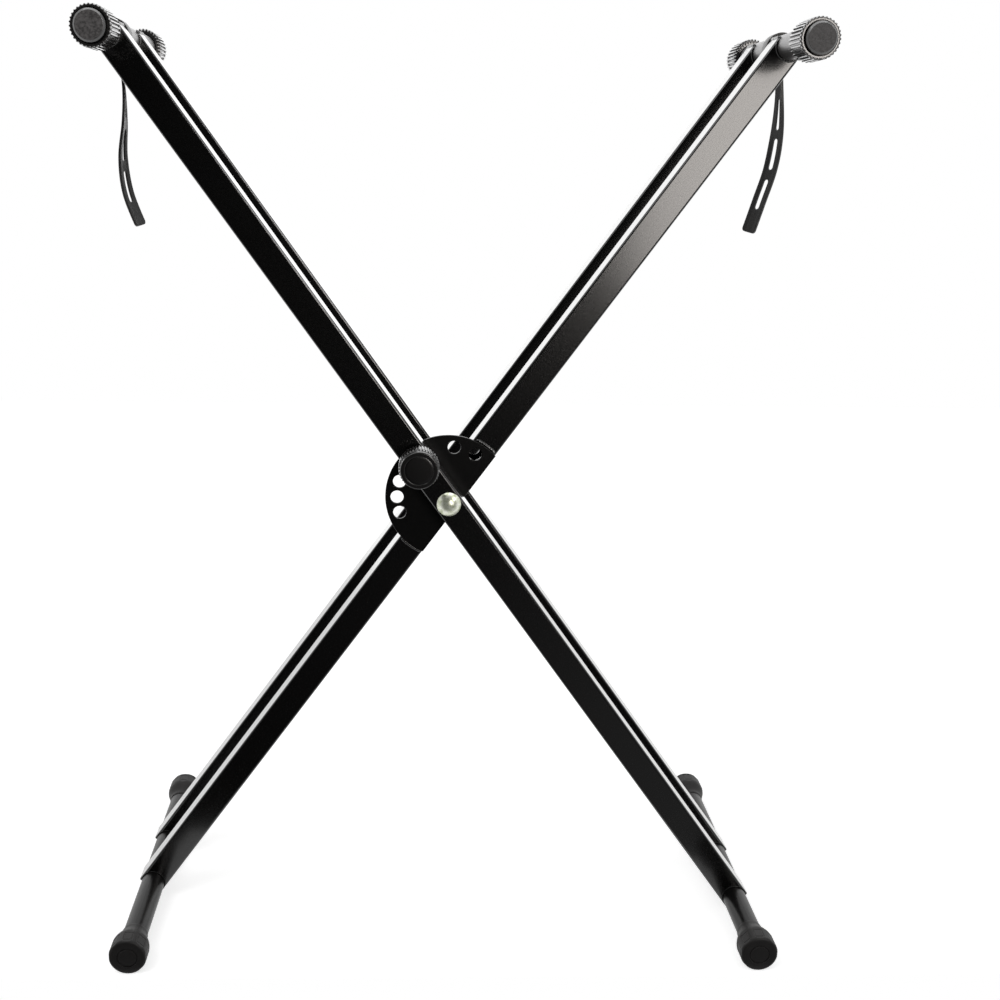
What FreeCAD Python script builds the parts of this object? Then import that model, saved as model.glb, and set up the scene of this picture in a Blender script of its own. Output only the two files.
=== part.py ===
import FreeCAD, Part
import math
import os

from FreeCAD import Rotation, Vector

# Folding keyboard stand. Millimetres, +Z up, front is -Y.
# The origin is on the floor, midway between the feet and between the front and rear arms.
# Pair A runs from the lower left to the upper right, pair B from the lower right to the upper left.
os.makedirs("parts", exist_ok=True)

# arms
arm_width = 25.0
arm_depth = 25.0
arm_wall = 1.5
arm_corner = 2.0
arm_lean = 35.75            # from upright, with the stand open as photographed
head_reach = 485.0          # pivot to head tube axis
foot_reach = 489.5          # pivot to foot tube axis
foot_overrun = 5.0          # square end of the arm past the foot tube axis
weld_gap = 0.05             # between a coped arm end and its cross tube

# stack of the four arms along the pivot bolt, front to back
washer_space = 2.0
face_clearance = 0.2        # between flat faces that slide past each other
disc_thickness = 3.0
spacer_space = 28.0

# cross tubes
cross_radius = 11.1
cross_wall = 1.2
head_span = 240.0           # over the rims of the head caps
foot_span = 325.0           # over the foot caps

# head caps
cap_radius = 16.5
cap_length = 32.0
cap_wall = 3.0              # closed end
cap_rib_count = 32
cap_rib_height = 1.1
cap_rib_share = 0.5         # of the rib pitch
cap_shoulder = 3.2          # plain band at the closed end
cap_shoulder_round = 2.0
cap_groove_width = 1.8
cap_groove_depth = 1.5
cap_disc_radius = 13.5
cap_disc_height = 4.5
cap_disc_chamfer = 1.2
push_gap = 0.05             # radial, caps on tubes

# foot caps
foot_radius = 17.0
foot_length = 37.0
foot_wall = 3.5
foot_neck_radius = 12.0
foot_neck_length = 3.0
foot_flare_length = 17.0
foot_round = 2.5
foot_flat_count = 8
foot_flat_depth = 0.5
foot_ring_inner = 8.0
foot_ring_outer = 9.6
foot_ring_depth = 0.8

# pivot
bolt_radius = 5.0
bolt_head_radius = 10.9
bolt_head_height = 5.5
bolt_neck_side = 10.0
bolt_neck_length = 5.0
bolt_hole_gap = 0.1
bolt_tail = 3.0             # past the nut
bush_radius = 7.0
bush_gap = 0.08             # running fit on the bolt
seat_gap = 0.05             # fixed pieces in their holes
washer_radius = 11.0
spacer_radius = 9.0
nut_across_flats = 17.0
nut_height = 7.0
nut_collar_radius = 7.4
nut_collar_height = 2.5

# lock disc and its holes, angles from arm A towards arm B
disc_radius = 57.3
hole_circle = 46.5
hole_radius = 6.0
open_angle = 2 * arm_lean
hole_step = 18.3
height_steps = (-2.3, 0, 1, 2, 3, 4)   # hole steps wider than the open angle
fold_angle = 4.5

# pull pin, distances from arm B's front face, forward is negative
pin_radius = 5.5
pin_gap = 0.08
pin_tip_gap = 0.3           # pin tip clear of the disc, as drawn
pin_length = 12.7
pin_chamfer = 1.0
stem_radius = 4.0
housing_flange_radius = 10.0
housing_flange = 2.0
housing_collar_radius = 8.0
housing_collar = 10.0
housing_spigot_radius = 6.95
housing_spigot = 4.0
knob_radius = 18.0
knob_back = 8.0
knob_front = 29.5
knob_face_radius = 16.6
knob_face_step = 5.0
knob_round = 1.2
knob_skirt_radius = 10.8
knob_skirt_depth = 10.0
knob_rib_count = 40
knob_rib_height = 0.9
knob_rib_share = 0.55
knob_cap_radius = 12.6
knob_cap_thickness = 1.6
knob_cap_sink = 0.4
stem_in_knob = 4.0          # stem end behind the knob's front face
spring_wire = 0.5           # radius
spring_radius = 4.85
spring_turns = 6
spring_end_gap = 0.1

# straps
strap_width = 14.0
strap_thickness = 2.2
strap_loop_gap = 0.4
strap_loop_lip = 0.3        # loop wider than the tail, each side
strap_arm_gap = 1.0
strap_slot_length = 27.0
strap_slot_width = 4.8
strap_slot_pitch = 34.5
strap_first_slot = 53.0     # below the head tube axis, to the slot's middle
strap_slot_count = 3
strap_sections_per_run = 4
strap_twist_a = (-5.0, -38.0)   # at the loop and at the free end
strap_twist_b = (-10.0, 24.0)
strap_turn_a = (15.0, 80.0)     # the twist takes place between these drops below the loop's wall
strap_turn_b = (15.0, 125.0)
# centre line of each tail, sideways and down from the middle of the loop's wall
strap_line_a = [(0.5, 0.0), (3.2, -27.4), (3.6, -57.4), (0.2, -87.4), (-7.6, -115.4), (-15.6, -142.9)]
strap_line_b = [(2.5, 0.0), (5.8, -27.4), (5.3, -55.4), (2.4, -85.4), (5.2, -114.4), (14.8, -141.9)]

# places that follow
stack_depth = 4 * arm_depth + 2 * washer_space + disc_thickness + spacer_space
front_b = -stack_depth / 2
disc_front = front_b + arm_depth + washer_space
front_a = disc_front + disc_thickness
rear_b = front_a + arm_depth + spacer_space
rear_a = rear_b + arm_depth + washer_space
nut_face = rear_a + arm_depth + washer_space
lean = math.radians(arm_lean)
floor_to_foot_axis = foot_radius - foot_flat_depth
pivot_height = foot_reach * math.cos(lean) + floor_to_foot_axis
side_a = 1
side_b = -1


def cylinder(radius, low, high, x=0.0, z=0.0):
    return Part.makeCylinder(radius, high - low, Vector(x, low, z), Vector(0, 1, 0))


def ring(outer, inner, low, high, x=0.0, z=0.0):
    return cylinder(outer, low, high, x, z).cut(cylinder(inner, low - 1, high + 1, x, z))


def turned(points):
    wire = Part.makePolygon([Vector(r, y, 0) for r, y in points + points[:1]])
    return Part.Face(wire).revolve(Vector(0, 0, 0), Vector(0, 1, 0), 360)


def edges_at(shape, y, radius):
    found = []
    for edge in shape.Edges:
        circle = edge.Curve
        if circle.TypeId != "Part::GeomCircle" or abs(circle.Radius - radius) > 0.01:
            continue
        if abs(circle.Center.y - y) < 0.01:
            found.append(edge)
    return found


def on_arm(shape, side):
    # from the arm's own frame, with the arm upright on the pivot, to its place
    placed = shape.copy()
    placed.rotate(Vector(0, 0, 0), Vector(0, 1, 0), side * arm_lean)
    placed.translate(Vector(0, 0, pivot_height))
    return placed


def ribbed_bar(root, rib_height, count, share, length):
    # a bar along Y with straight ribs all round, each a flat-topped tooth
    pitch = 2 * math.pi / count
    points = []
    for tooth in range(count):
        middle = tooth * pitch
        for offset, radius in (
            (-0.5 * share, root), (-0.3 * share, root + rib_height),
            (0.3 * share, root + rib_height), (0.5 * share, root),
        ):
            angle = middle + offset * pitch
            points.append(Vector(radius * math.sin(angle), 0, radius * math.cos(angle)))
    face = Part.Face(Part.makePolygon(points + points[:1]))
    return face.extrude(Vector(0, length, 0))


def square_tube(low, high):
    def bar(width, depth, corner):
        block = Part.makeBox(width, depth, high - low, Vector(-width / 2, -depth / 2, low))
        upright = [e for e in block.Edges if abs(e.tangentAt(e.FirstParameter).z) > 0.99]
        return block.makeFillet(corner, upright)
    outer = bar(arm_width, arm_depth, arm_corner)
    inner_corner = max(arm_corner - arm_wall, 0.2)
    inner = bar(arm_width - 2 * arm_wall, arm_depth - 2 * arm_wall, inner_corner)
    return outer.cut(inner)


def arm_tube(front):
    # square tube with both ends coped to the cross tubes, front face at Y = front
    tube = square_tube(-foot_reach - foot_overrun, head_reach)
    tube.translate(Vector(0, front + arm_depth / 2, 0))
    reach = cross_radius + weld_gap
    for z in (head_reach, -foot_reach):
        tube = tube.cut(cylinder(reach, front - 1, front + arm_depth + 1, 0, z))
    return tube


def disc_hole_place(angle):
    turn = math.radians(angle)
    return -hole_circle * math.sin(turn), hole_circle * math.cos(turn)


def cross_tube(span, end_wall):
    half = span / 2 - end_wall - push_gap
    return ring(cross_radius, cross_radius - cross_wall, -half, half)


def head_cap():
    # closed end at Y = 0, open end at Y = cap_length
    root = cap_radius - cap_rib_height
    ribbed_length = cap_length - cap_shoulder
    ribbed = ribbed_bar(root, cap_rib_height, cap_rib_count, cap_rib_share, ribbed_length)
    ribbed.translate(Vector(0, cap_shoulder - cap_shoulder_round / 2, 0))
    shoulder = cylinder(cap_radius - cap_rib_height / 2, 0, cap_shoulder)
    shoulder = shoulder.makeFillet(cap_shoulder_round, edges_at(shoulder, 0, cap_radius - cap_rib_height / 2))
    body = cylinder(root, 1, cap_length).fuse([ribbed, shoulder])
    body = body.cut(cylinder(cap_radius + 1, cap_length, cap_length + cap_shoulder))
    groove = ring(cap_disc_radius, cap_disc_radius - cap_groove_width, -1, cap_groove_depth)
    disc_root = cap_disc_radius - cap_groove_width / 2
    disc = turned([
        (0, 1), (0, -cap_disc_height), (disc_root - cap_disc_chamfer, -cap_disc_height),
        (disc_root, cap_disc_chamfer - cap_disc_height), (disc_root, 1),
    ])
    bore = cylinder(cross_radius + push_gap, cap_wall, cap_length + 1)
    return body.cut(groove).fuse(disc).cut(bore).removeSplitter()


def foot_cap():
    # closed end at Y = 0, open end at Y = foot_length
    flare_start = foot_length - foot_neck_length
    flare_end = flare_start - foot_flare_length
    body = turned([
        (0, 0), (foot_radius - foot_round, 0), (foot_radius, foot_round), (foot_radius, flare_end),
        (foot_neck_radius + 0.6, flare_start - 2), (foot_neck_radius, flare_start),
        (foot_neck_radius, foot_length), (0, foot_length),
    ])
    ring_groove = ring(foot_ring_outer, foot_ring_inner, -1, foot_ring_depth)
    bore = cylinder(cross_radius + push_gap, foot_wall, foot_length + 1)
    body = body.cut(ring_groove).cut(bore)
    for flat in range(foot_flat_count):
        cutter = Part.makeBox(
            2 * foot_radius, flare_end + foot_flare_length, foot_radius,
            Vector(-foot_radius, -1, -foot_radius - floor_to_foot_axis),
        )
        cutter.rotate(Vector(0, 0, 0), Vector(0, 1, 0), flat * 360 / foot_flat_count)
        body = body.cut(cutter)
    return body


def pair_of(cap, name, half_span, x, z, roll):
    front = cap.copy()
    front.rotate(Vector(0, 0, 0), Vector(0, 1, 0), roll)
    rear = front.copy()
    rear.rotate(Vector(0, 0, 0), Vector(0, 0, 1), 180)
    front.translate(Vector(x, -half_span, z))
    rear.translate(Vector(x, half_span, z))
    return {name + "_front": front, name + "_rear": rear}


def cross_members(letter, side):
    head_x = side * head_reach * math.sin(lean)
    head_z = pivot_height + head_reach * math.cos(lean)
    foot_x = -side * foot_reach * math.sin(lean)
    head_tube = cross_tube(head_span, cap_wall)
    head_tube.translate(Vector(head_x, 0, head_z))
    foot_tube = cross_tube(foot_span, foot_wall)
    foot_tube.translate(Vector(foot_x, 0, floor_to_foot_axis))
    made = {"head_tube_" + letter: head_tube, "foot_tube_" + letter: foot_tube}
    made.update(pair_of(head_cap(), "head_cap_" + letter, head_span / 2, head_x, head_z, side * arm_lean))
    made.update(pair_of(foot_cap(), "foot_cap_" + letter, foot_span / 2, foot_x, floor_to_foot_axis, 0))
    return made


def pair_a():
    front = arm_tube(front_a)
    rear = arm_tube(rear_a)
    bush_hole = bush_radius + seat_gap
    front = front.cut(cylinder(bush_hole, front_a - 1, front_a + arm_depth + 1))
    rear = rear.cut(cylinder(bush_hole, rear_a - 1, rear_a + arm_depth + 1))
    fold_x, fold_z = disc_hole_place(fold_angle)
    front = front.cut(cylinder(hole_radius, front_a - 1, front_a + arm_depth + 1, fold_x, fold_z))
    disc = cylinder(disc_radius, disc_front, front_a)
    beyond = Part.makeBox(disc_radius, disc_thickness + 2, 2 * disc_radius,
                          Vector(arm_width / 2, disc_front - 1, -disc_radius))
    disc = disc.cut(beyond).cut(cylinder(bush_hole, disc_front - 1, front_a + 1))
    for angle in [fold_angle] + [open_angle + step * hole_step for step in height_steps]:
        x, z = disc_hole_place(angle)
        disc = disc.cut(cylinder(hole_radius, disc_front - 1, front_a + 1, x, z))
    bush_bore = bolt_radius + bush_gap
    return {
        "arm_a_front_tube": front,
        "arm_a_rear_tube": rear,
        "lock_disc": disc,
        "pivot_bush_front": ring(bush_radius, bush_bore, disc_front, front_a + arm_depth),
        "pivot_bush_rear": ring(bush_radius, bush_bore, rear_a, rear_a + arm_depth),
    }


def pivot_bolt():
    # spherical cap head, square neck in the front wall, plain shank
    dome_radius = (bolt_head_radius ** 2 + bolt_head_height ** 2) / (2 * bolt_head_height)
    dome = Part.makeSphere(dome_radius, Vector(0, front_b + dome_radius - bolt_head_height, 0))
    head = dome.common(cylinder(bolt_head_radius + 1, front_b - bolt_head_height - 1, front_b))
    half = bolt_neck_side / 2
    neck = Part.makeBox(bolt_neck_side, bolt_neck_length, bolt_neck_side, Vector(-half, front_b, -half))
    tip = nut_face + nut_height + nut_collar_height + bolt_tail
    shank = cylinder(bolt_radius, front_b, tip)
    shank = shank.makeChamfer(1.0, edges_at(shank, tip, bolt_radius))
    return head.fuse([neck, shank]).removeSplitter()


def pivot_nut():
    corner = nut_across_flats / 2 / math.cos(math.pi / 6)
    points = []
    for flat in range(6):
        turn = flat * math.pi / 3
        points.append(Vector(corner * math.cos(turn), nut_face, corner * math.sin(turn)))
    hexagon = Part.Face(Part.makePolygon(points + points[:1])).extrude(Vector(0, nut_height, 0))
    collar = cylinder(nut_collar_radius, nut_face, nut_face + nut_height + nut_collar_height)
    bore = cylinder(bolt_radius + seat_gap, nut_face - 1, nut_face + nut_height + nut_collar_height + 1)
    return hexagon.fuse(collar).cut(bore).removeSplitter()


def pair_b():
    front = arm_tube(front_b)
    rear = arm_tube(rear_b)
    bolt_hole = bolt_radius + bolt_hole_gap
    square = bolt_neck_side + 2 * bolt_hole_gap
    neck_hole = Part.makeBox(square, 2 + arm_wall, square, Vector(-square / 2, front_b - 1, -square / 2))
    front = front.cut(neck_hole).cut(cylinder(bolt_hole, front_b, front_b + arm_depth + 1))
    rear = rear.cut(cylinder(bolt_hole, rear_b - 1, rear_b + arm_depth + 1))
    spigot_hole = housing_spigot_radius + seat_gap
    front = front.cut(cylinder(spigot_hole, front_b - 1, front_b + arm_depth / 2, 0, hole_circle))
    front = front.cut(cylinder(pin_radius + pin_gap, front_b, front_b + arm_depth + 1, 0, hole_circle))
    bore = bolt_radius + seat_gap
    return {
        "arm_b_front_tube": front,
        "arm_b_rear_tube": rear,
        "pivot_bolt": pivot_bolt(),
        "pivot_nut": pivot_nut(),
        "front_washer": ring(washer_radius, bore, front_b + arm_depth, disc_front - face_clearance),
        "pivot_spacer": ring(spacer_radius, bore, front_a + arm_depth + face_clearance, rear_b),
        "middle_washer": ring(washer_radius, bore, rear_b + arm_depth, rear_a - face_clearance),
        "nut_washer": ring(washer_radius, bore, rear_a + arm_depth + face_clearance, nut_face),
        "lock_housing": lock_housing(),
    }


def lock_housing():
    flange = cylinder(housing_flange_radius, front_b - housing_flange, front_b, 0, hole_circle)
    collar = cylinder(housing_collar_radius, front_b - housing_collar, front_b, 0, hole_circle)
    spigot = cylinder(housing_spigot_radius, front_b, front_b + housing_spigot, 0, hole_circle)
    bore = cylinder(stem_radius + pin_gap, front_b - housing_collar - 1, front_b + housing_spigot + 1,
                    0, hole_circle)
    return flange.fuse([collar, spigot]).cut(bore).removeSplitter()


pin_tip = disc_front - pin_tip_gap
pin_shoulder = pin_tip - pin_length
spring_front = front_b + housing_spigot + spring_end_gap
spring_back = pin_shoulder - spring_end_gap


def lock_pin():
    pin = cylinder(pin_radius, pin_shoulder, pin_tip, 0, hole_circle)
    pin = pin.makeChamfer(pin_chamfer, edges_at(pin, pin_tip, pin_radius))
    stem = cylinder(stem_radius, front_b - knob_front + stem_in_knob, pin_shoulder + 1, 0, hole_circle)
    return pin.fuse(stem).removeSplitter()


def lock_spring():
    # one coil of arcs, four to the turn, round the pin's stem
    low = spring_front + spring_wire
    pitch = (spring_back - spring_front - 2 * spring_wire) / spring_turns

    def on_coil(turn):
        angle = 2 * math.pi * turn
        return Vector(spring_radius * math.sin(angle), low + pitch * turn,
                      hole_circle + spring_radius * math.cos(angle))

    arcs = []
    for quarter in range(4 * spring_turns):
        points = [on_coil((quarter + part) / 4) for part in (0, 0.5, 1)]
        arcs.append(Part.Arc(*points).toShape())
    start = arcs[0].tangentAt(arcs[0].FirstParameter)
    profile = Part.Wire(Part.makeCircle(spring_wire, on_coil(0), start))
    return Part.Wire(arcs).makePipeShell([profile], True, False)


def lock_knob():
    back = front_b - knob_back
    front = front_b - knob_front
    step = front + knob_face_step
    root = knob_radius - knob_rib_height
    grip = ribbed_bar(root, knob_rib_height, knob_rib_count, knob_rib_share, back - step)
    grip.translate(Vector(0, step, 0))
    face = cylinder(knob_face_radius, front, step + 1)
    face = face.makeFillet(knob_round, edges_at(face, front, knob_face_radius))
    knob = cylinder(root, step, back).fuse([grip, face])
    seat = cylinder(knob_cap_radius + seat_gap, front - 1, front + knob_cap_sink + knob_cap_thickness)
    skirt = cylinder(knob_skirt_radius, back - knob_skirt_depth, back + 1)
    bore = cylinder(stem_radius + seat_gap, front + stem_in_knob, back)
    knob = knob.cut(seat).cut(skirt).cut(bore).removeSplitter()
    knob.translate(Vector(0, 0, hole_circle))
    return knob


def pull_pin():
    cap_front = front_b - knob_front + knob_cap_sink
    return {
        "lock_pin": lock_pin(),
        "lock_spring": lock_spring(),
        "lock_knob": lock_knob(),
        "lock_knob_cap": cylinder(knob_cap_radius, cap_front, cap_front + knob_cap_thickness, 0, hole_circle),
    }


def smooth_line(points):
    # Catmull-Rom curve through the points, as (x, z, direction) at even steps
    padded = [points[0]] + points + [points[-1]]
    line = []
    runs = len(points) - 1
    for run in range(runs):
        a, b, c, d = (Vector(x, 0, z) for x, z in padded[run:run + 4])
        last = 1 if run == runs - 1 else 0
        for step in range(strap_sections_per_run + last):
            t = step / strap_sections_per_run
            place = (b * 2 + (c - a) * t + (a * 2 - b * 5 + c * 4 - d) * t * t
                     + (b * 3 - a - c * 3 + d) * t * t * t) * 0.5
            along = ((c - a) + (a * 2 - b * 5 + c * 4 - d) * 2 * t
                     + (b * 3 - a - c * 3 + d) * 3 * t * t) * 0.5
            line.append((place, along.normalize()))
    return line


def strap_section(place, along, twist, width, thickness):
    across = Rotation(along, twist).multVec(Vector(0, 1, 0))
    flat = along.cross(across)
    w = across * (width / 2)
    f = flat * (thickness / 2)
    corners = [place - w - f, place + w - f, place + w + f, place - w + f]
    return Part.makePolygon(corners + corners[:1])


def strap(points, twists, turn):
    # loop round the head tube and a perforated tail, about the head tube axis
    inner = cross_radius + strap_loop_gap
    top = -inner - strap_thickness / 2
    line = smooth_line([(x, top + z) for x, z in points])

    def twist_at(z):
        turned = min(max((top - z - turn[0]) / (turn[1] - turn[0]), 0), 1)
        return twists[0] + (twists[1] - twists[0]) * turned * turned * (3 - 2 * turned)

    sections = [strap_section(p, a, twist_at(p.z), strap_width, strap_thickness) for p, a in line]
    tail = Part.makeLoft(sections, True, True)
    half_loop = strap_width / 2 + strap_loop_lip
    loop = ring(inner + strap_thickness, inner, -half_loop, half_loop)
    body = tail.cut(cylinder(inner, -strap_width, strap_width)).fuse(loop)
    for slot in range(strap_slot_count):
        middle = -strap_first_slot - slot * strap_slot_pitch
        place, along = min(line, key=lambda entry: abs(entry[0].z - middle))
        place = place + along * ((middle - place.z) / along.z)
        ends = [
            strap_section(place + along * half, along, twist_at(middle), strap_slot_width, 6 * strap_thickness)
            for half in (-strap_slot_length / 2, strap_slot_length / 2)
        ]
        body = body.cut(Part.makeLoft(ends, True, True))
    return body


def straps():
    made = {}
    for name, points, twists, turn, side, arm_front in (
        ("strap_a", strap_line_a, strap_twist_a, strap_turn_a, side_a, front_a),
        ("strap_b", strap_line_b, strap_twist_b, strap_turn_b, side_b, front_b),
    ):
        body = strap(points, twists, turn)
        body.translate(Vector(
            side * head_reach * math.sin(lean),
            arm_front + arm_depth + strap_arm_gap + strap_width / 2,
            pivot_height + head_reach * math.cos(lean),
        ))
        made[name] = body
    return made


nodes = {}
for name, shape in pair_a().items():
    nodes[name] = on_arm(shape, side_a)
for group in (pair_b(), pull_pin()):
    for name, shape in group.items():
        nodes[name] = on_arm(shape, side_b)
nodes.update(cross_members("a", side_a))
nodes.update(cross_members("b", side_b))
nodes.update(straps())

for name, shape in sorted(nodes.items()):
    shape.exportStep("parts/" + name + ".step")
    print(name, len(shape.Solids), round(shape.Volume), shape.isValid())
print("pivot height", round(pivot_height, 3), "spring gap",
      round((spring_back - spring_front - 2 * spring_wire) / spring_turns - 2 * spring_wire, 3))
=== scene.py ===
import math
import random

import bmesh
import bpy
from mathutils import Matrix, Quaternion, Vector


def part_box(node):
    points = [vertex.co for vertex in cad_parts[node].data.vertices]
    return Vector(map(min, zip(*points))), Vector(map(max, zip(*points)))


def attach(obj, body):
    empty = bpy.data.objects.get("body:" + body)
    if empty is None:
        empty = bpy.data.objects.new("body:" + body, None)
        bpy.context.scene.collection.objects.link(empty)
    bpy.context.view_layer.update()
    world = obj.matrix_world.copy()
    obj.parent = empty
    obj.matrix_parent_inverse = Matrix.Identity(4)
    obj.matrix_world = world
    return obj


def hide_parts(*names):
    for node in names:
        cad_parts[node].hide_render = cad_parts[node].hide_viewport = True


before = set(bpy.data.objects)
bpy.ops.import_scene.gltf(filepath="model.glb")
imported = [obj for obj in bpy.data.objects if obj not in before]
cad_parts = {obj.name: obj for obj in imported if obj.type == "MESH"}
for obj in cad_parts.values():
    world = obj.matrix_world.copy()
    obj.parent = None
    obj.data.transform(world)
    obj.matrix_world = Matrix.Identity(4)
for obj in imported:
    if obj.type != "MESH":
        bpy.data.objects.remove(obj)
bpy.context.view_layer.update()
mm = 0.001
millimetres = Matrix.Scale(mm, 4)
scene = bpy.context.scene
print("frame loaded:", len(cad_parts), "nodes")


def newGroup(name, inputs, outputs):
    # a shader group with its named number sockets made, and its two end nodes
    group = bpy.data.node_groups.new(name, "ShaderNodeTree")
    for label, value in inputs.items():
        socket = group.interface.new_socket(name=label, in_out="INPUT", socket_type="NodeSocketFloat")
        socket.default_value = value
    for label in outputs:
        group.interface.new_socket(name=label, in_out="OUTPUT", socket_type="NodeSocketFloat")
    start = group.nodes.new("NodeGroupInput")
    end = group.nodes.new("NodeGroupOutput")
    return group, start, end


def addNode(tree, kind, **values):
    # plain attributes by name, sockets as in_NAME with spaces written as _
    node = tree.nodes.new(kind)
    sockets = {}
    for key, value in values.items():
        if key.startswith("in_"):
            sockets[key[3:].replace("_", " ")] = value
        else:
            setattr(node, key, value)
    for label, value in sockets.items():
        target = node.inputs[int(label)] if label.isdigit() else node.inputs[label]
        if isinstance(value, bpy.types.NodeSocket):
            tree.links.new(value, target)
        else:
            target.default_value = value
    return node


def mathNode(tree, operation, first, second=0.0, clamp=False):
    node = addNode(tree, "ShaderNodeMath", operation=operation, use_clamp=clamp, in_0=first, in_1=second)
    return node.outputs[0]


def multiplied(tree, first, *others):
    for other in others:
        first = mathNode(tree, "MULTIPLY", first, other)
    return first


def rangeNode(tree, value, fromMin, fromMax, toMin=0.0, toMax=1.0, smooth=False):
    node = addNode(tree, "ShaderNodeMapRange", in_Value=value, in_From_Min=fromMin, in_From_Max=fromMax,
                   in_To_Min=toMin, in_To_Max=toMax)
    node.interpolation_type = "SMOOTHSTEP" if smooth else "LINEAR"
    return node.outputs["Result"]


def mixColour(tree, factor, first, second):
    # the mix node's sockets by number, as its colour ones share their names with others
    return addNode(tree, "ShaderNodeMix", data_type="RGBA", in_0=factor, in_6=first, in_7=second).outputs[2]


def noiseAt(tree, sizeSocket, detail=2.0, roughness=0.5, offset=0.0):
    # noise whose features are about the given size in millimetres, fixed to the piece
    place = addNode(tree, "ShaderNodeTexCoord").outputs["Object"]
    if offset:
        place = addNode(tree, "ShaderNodeVectorMath", operation="ADD", in_0=place,
                        in_1=(offset, offset, offset)).outputs[0]
    scale = mathNode(tree, "DIVIDE", 1.0 / mm, sizeSocket)
    node = addNode(tree, "ShaderNodeTexNoise", in_Vector=place, in_Scale=scale, in_Detail=detail,
                   in_Roughness=roughness)
    return node.outputs["Fac"]


def makePaintPeel():
    # slow waves of sprayed powder under a fine grain
    group, start, end = newGroup("paintPeel", {"Wave Size": 1.6, "Grain Size": 0.35, "Grain Share": 0.3},
                                 ["Height"])
    wave = noiseAt(group, start.outputs["Wave Size"], detail=1.0)
    grain = noiseAt(group, start.outputs["Grain Size"], detail=2.0, offset=3.1)
    grain = multiplied(group, grain, start.outputs["Grain Share"])
    group.links.new(mathNode(group, "ADD", wave, grain), end.inputs["Height"])
    return group


def makeFlecks():
    # separate small spots, more of them as Share grows
    group, start, end = newGroup("flecks", {"Size": 0.6, "Share": 0.3, "Softness": 0.08}, ["Mask"])
    spots = noiseAt(group, start.outputs["Size"], detail=3.0, roughness=0.6, offset=7.7)
    noSpots, spread = 0.78, 0.4  # the noise level that leaves none, and how far a full Share lowers it
    low = mathNode(group, "SUBTRACT", noSpots, multiplied(group, start.outputs["Share"], spread))
    high = mathNode(group, "ADD", low, start.outputs["Softness"])
    group.links.new(rangeNode(group, spots, low, high, smooth=True), end.inputs["Mask"])
    return group


def makeEdgeRubAndHighlight():
    # edge wear and a painted edge highlight: where a rounded normal leaves the true one, broken up by a
    # blotchy noise
    group, start, end = newGroup("edgeRubAndHighlight", {"Width": 0.5, "Patch Size": 4.0, "Amount": 0.5}, ["Mask"])
    radius = multiplied(group, start.outputs["Width"], mm)
    rounded = addNode(group, "ShaderNodeBevel", samples=4, in_Radius=radius)
    geometry = addNode(group, "ShaderNodeNewGeometry")
    turn = addNode(group, "ShaderNodeVectorMath", operation="DOT_PRODUCT", in_0=rounded.outputs[0],
                   in_1=geometry.outputs["Normal"])
    flatCosine, edgeCosine = 0.995, 0.9
    edge = rangeNode(group, turn.outputs["Value"], flatCosine, edgeCosine)
    patches = noiseAt(group, start.outputs["Patch Size"], detail=4.0, offset=1.9)
    rubbedAndHighlit = multiplied(group, edge, rangeNode(group, patches, 0.35, 0.65), start.outputs["Amount"])
    group.links.new(rubbedAndHighlit, end.inputs["Mask"])
    return group


def makeDustFilm():
    # a thin settled film, thicker on faces that look up
    group, start, end = newGroup("dustFilm", {"Blotch Size": 18.0, "Amount": 0.1}, ["Mask"])
    geometry = addNode(group, "ShaderNodeNewGeometry")
    upward = addNode(group, "ShaderNodeSeparateXYZ", in_Vector=geometry.outputs["Normal"]).outputs["Z"]
    shareBelow = 0.25  # what is left of the film on faces that look down
    settled = rangeNode(group, upward, -0.2, 1.0, shareBelow, 1.0)
    blotches = noiseAt(group, start.outputs["Blotch Size"], detail=5.0, offset=5.3)
    film = multiplied(group, settled, rangeNode(group, blotches, 0.3, 0.75), start.outputs["Amount"])
    group.links.new(film, end.inputs["Mask"])
    return group


def makeMouldGrain():
    # spark-eroded mould texture, as height and as a light and dark mask
    group, start, end = newGroup("mouldGrain", {"Grain Size": 0.45, "Contrast": 0.5}, ["Height", "Mask"])
    grain = noiseAt(group, start.outputs["Grain Size"], detail=3.0, roughness=0.65, offset=2.2)
    group.links.new(grain, end.inputs["Height"])
    middle, steepest = 0.5, 4.0
    centred = mathNode(group, "SUBTRACT", grain, middle)
    spread = multiplied(group, centred, multiplied(group, start.outputs["Contrast"], steepest))
    group.links.new(mathNode(group, "ADD", spread, middle, clamp=True), end.inputs["Mask"])
    return group


def makeCrevice():
    # painted shade between ribs and in grooves, where little light gets in, from how shut in each spot is
    group, start, end = newGroup("crevice", {"Reach": 1.5, "Amount": 0.8}, ["Mask"])
    occlusion = addNode(group, "ShaderNodeAmbientOcclusion", samples=6,
                        in_Distance=multiplied(group, start.outputs["Reach"], mm))
    openShare, closedShare = 0.85, 0.35
    # how much painted shade a spot gets from how little light reaches it
    crevicePaintedShade = rangeNode(group, occlusion.outputs["AO"], openShare, closedShare)
    group.links.new(multiplied(group, crevicePaintedShade, start.outputs["Amount"]), end.inputs["Mask"])
    return group


effects = {
    "peel": makePaintPeel(), "flecks": makeFlecks(), "rub": makeEdgeRubAndHighlight(),
    "dust": makeDustFilm(), "mould": makeMouldGrain(), "crevice": makeCrevice(),
}


def effect(tree, name, **values):
    node = tree.nodes.new("ShaderNodeGroup")
    node.node_tree = effects[name]
    for key, value in values.items():
        node.inputs[key.replace("_", " ")].default_value = value
    return node.outputs


def newMaterial(name, **constants):
    # a principled material whose even values sit on the shader's own sockets
    material = bpy.data.materials.new(name)
    material.use_nodes = True
    tree = material.node_tree
    shader = tree.nodes["Principled BSDF"]
    for key, value in constants.items():
        shader.inputs[key.replace("_", " ")].default_value = value
    return material, tree, shader


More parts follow.
